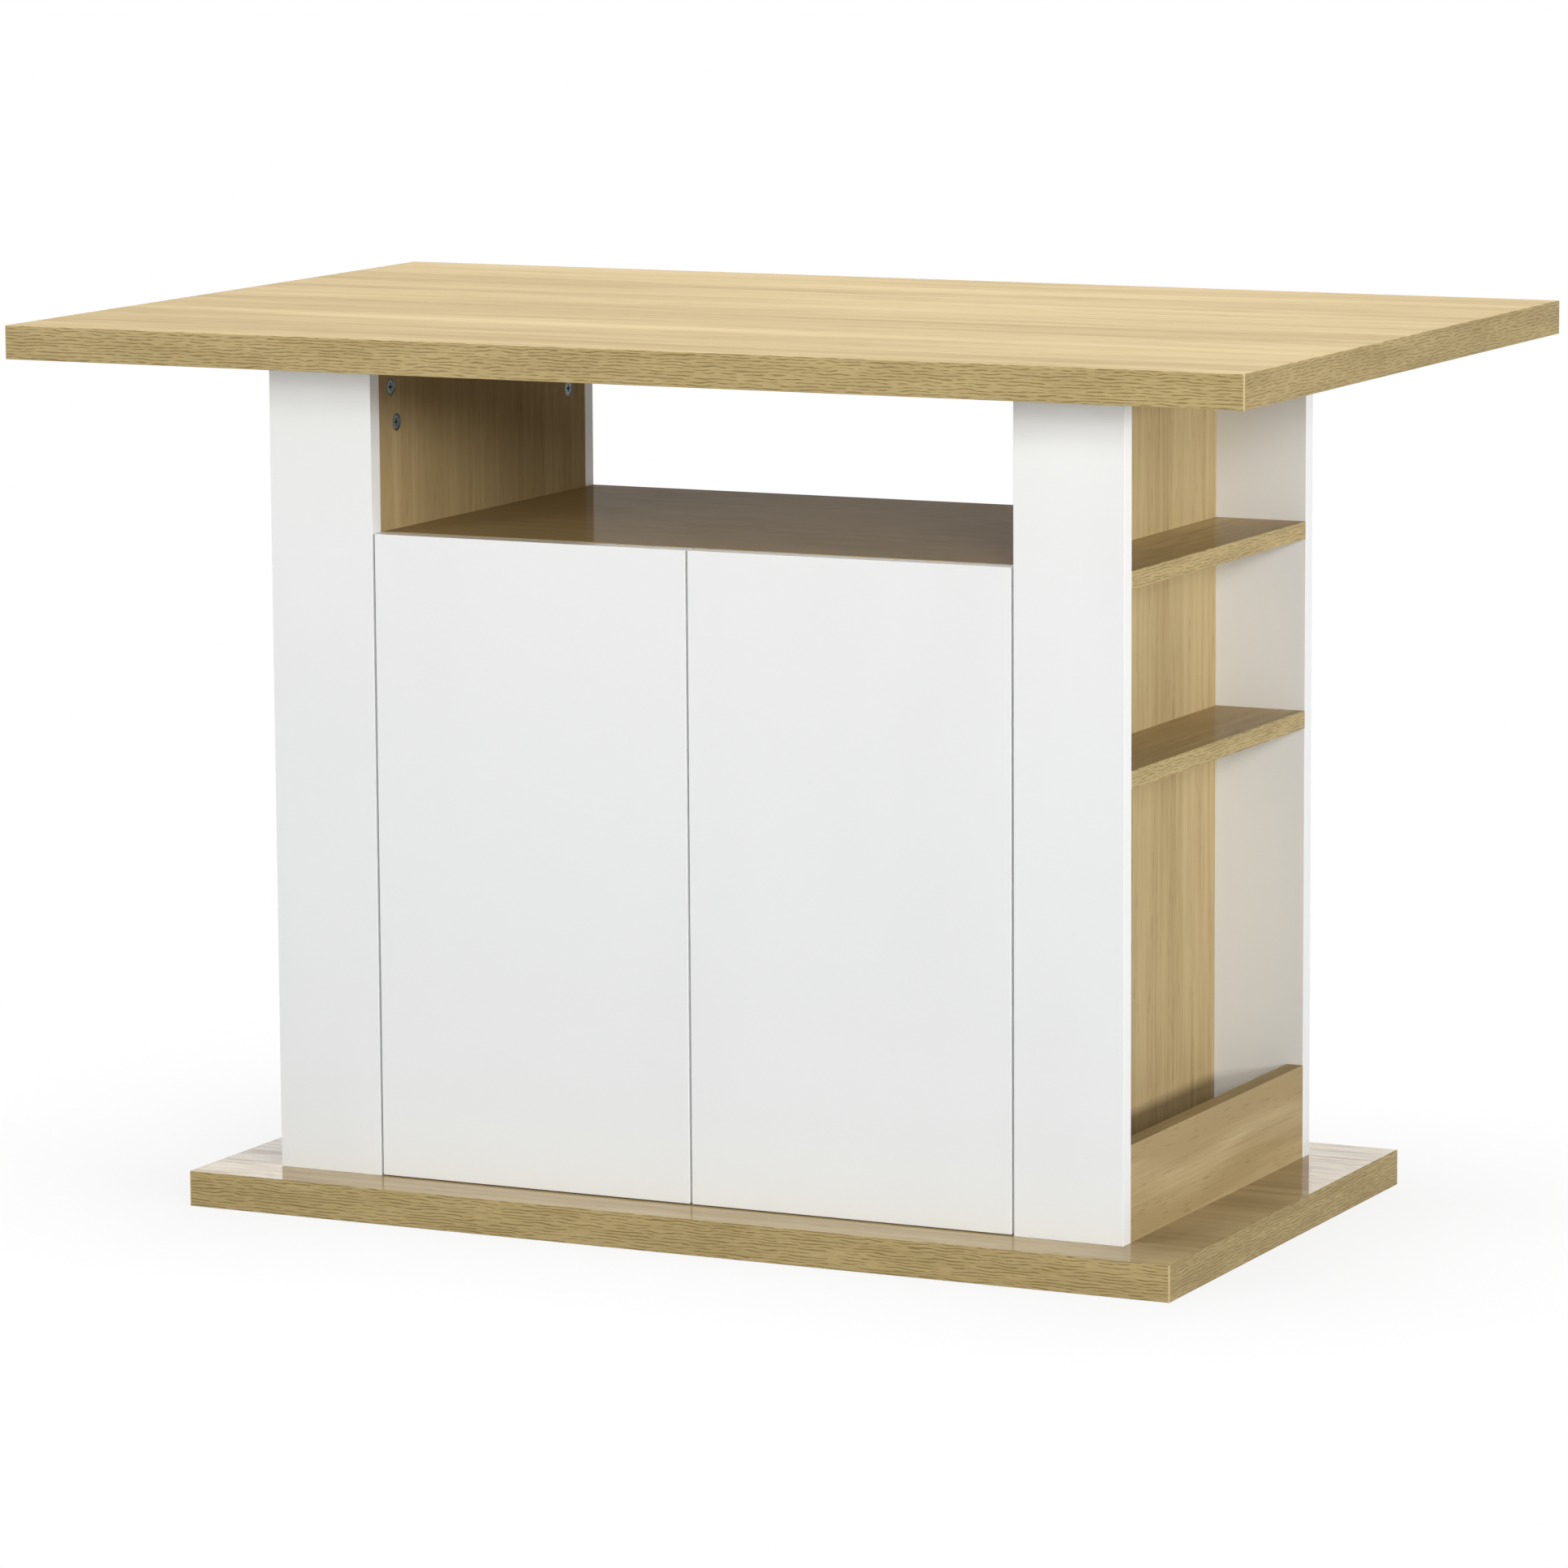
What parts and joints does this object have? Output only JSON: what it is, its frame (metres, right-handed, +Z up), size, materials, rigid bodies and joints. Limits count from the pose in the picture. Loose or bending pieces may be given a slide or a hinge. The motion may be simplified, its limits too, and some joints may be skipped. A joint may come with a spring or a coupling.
{
  "type": "kitchen table with storage cabinet",
  "caption": "Kitchen table whose thick oak-effect top stands on a white cabinet with push-open doors, an open compartment and open end shelves, on a wide plinth.",
  "frame": {"origin": "on the ground at the middle of the table, under the centre of the top and of the plinth", "axes": "+Z up, +X along the table's length, doors facing -Y"},
  "size_m": [1.1, 0.7, 0.75],
  "materials": {
    "oak_board": "satin oak-effect melamine, straight fine grain",
    "oak_edging": "embossed oak-effect edge band",
    "white_board": "satin white melamine",
    "beech_dowel": "plain turned beech",
    "zinc_fitting": "zinc die casting, dull",
    "steel_fitting": "nickel-plated pressed steel",
    "grey_plastic": "moulded grey plastic",
    "white_plastic": "moulded white plastic"
  },
  "bodies": {
    "carcass": {"back_dowels": "beech_dowel", "cabinet_back": "white_board", "compartment_floor": "oak_board", "floor_cam_bolts": "steel_fitting", "floor_cam_locks": "zinc_fitting", "inner_shelf": "oak_board", "latch_screws": "steel_fitting", "left_back_post": "white_board", "left_cam_bolts": "steel_fitting", "left_cam_locks": "zinc_fitting", "left_front_post": "white_board", "left_hinge_arms": "steel_fitting", "left_hinge_plate_screws": "steel_fitting", "left_hinge_plates": "steel_fitting", "left_latch_housing": "grey_plastic", "left_lower_shelf": "oak_board", "left_shelf_edging": "oak_edging", "left_shelf_rail": "oak_board", "left_shelf_screws": "steel_fitting", "left_side_panel": "oak_board", "left_tower_dowels": "beech_dowel", "left_upper_shelf": "oak_board", "plinth": "oak_board", "plinth_edging": "oak_edging", "right_back_post": "white_board", "right_cam_bolts": "steel_fitting", "right_cam_locks": "zinc_fitting", "right_front_post": "white_board", "right_hinge_arms": "steel_fitting", "right_hinge_plate_screws": "steel_fitting", "right_hinge_plates": "steel_fitting", "right_latch_housing": "grey_plastic", "right_lower_shelf": "oak_board", "right_shelf_edging": "oak_edging", "right_shelf_rail": "oak_board", "right_shelf_screws": "steel_fitting", "right_side_panel": "oak_board", "right_tower_dowels": "beech_dowel", "right_upper_shelf": "oak_board", "shelf_pins": "steel_fitting", "table_top": "oak_board", "table_top_edging": "oak_edging"},
    "left_door": {"left_door": "white_board", "left_hinge_cups": "steel_fitting", "left_hinge_pins": "steel_fitting", "left_hinge_cup_screws": "steel_fitting", "left_strike_plate": "steel_fitting", "left_strike_screw": "steel_fitting"},
    "left_plunger": {"left_latch_plunger": "white_plastic"},
    "right_door": {"right_door": "white_board", "right_hinge_cups": "steel_fitting", "right_hinge_pins": "steel_fitting", "right_hinge_cup_screws": "steel_fitting", "right_strike_plate": "steel_fitting", "right_strike_screw": "steel_fitting"},
    "right_plunger": {"right_latch_plunger": "white_plastic"}
  },
  "joints": [
    {"name": "left_door_swing", "type": "hinge", "parent": "carcass", "child": "left_door", "pos_m": [-0.2788, -0.1938, 0.3026], "axis": [0, 0, -1], "range_deg": [0, 100]},
    {"name": "left_latch_press", "type": "slide", "parent": "carcass", "child": "left_plunger", "axis": [0, 1, 0], "range_m": [0, 0.004], "stiffness_N_per_m": 200, "springref_m": -0.005},
    {"name": "right_door_swing", "type": "hinge", "parent": "carcass", "child": "right_door", "pos_m": [0.2788, -0.1938, 0.3026], "axis": [0, 0, 1], "range_deg": [0, 100]},
    {"name": "right_latch_press", "type": "slide", "parent": "carcass", "child": "right_plunger", "axis": [0, 1, 0], "range_m": [0, 0.004], "stiffness_N_per_m": 200, "springref_m": -0.005}
  ]
}
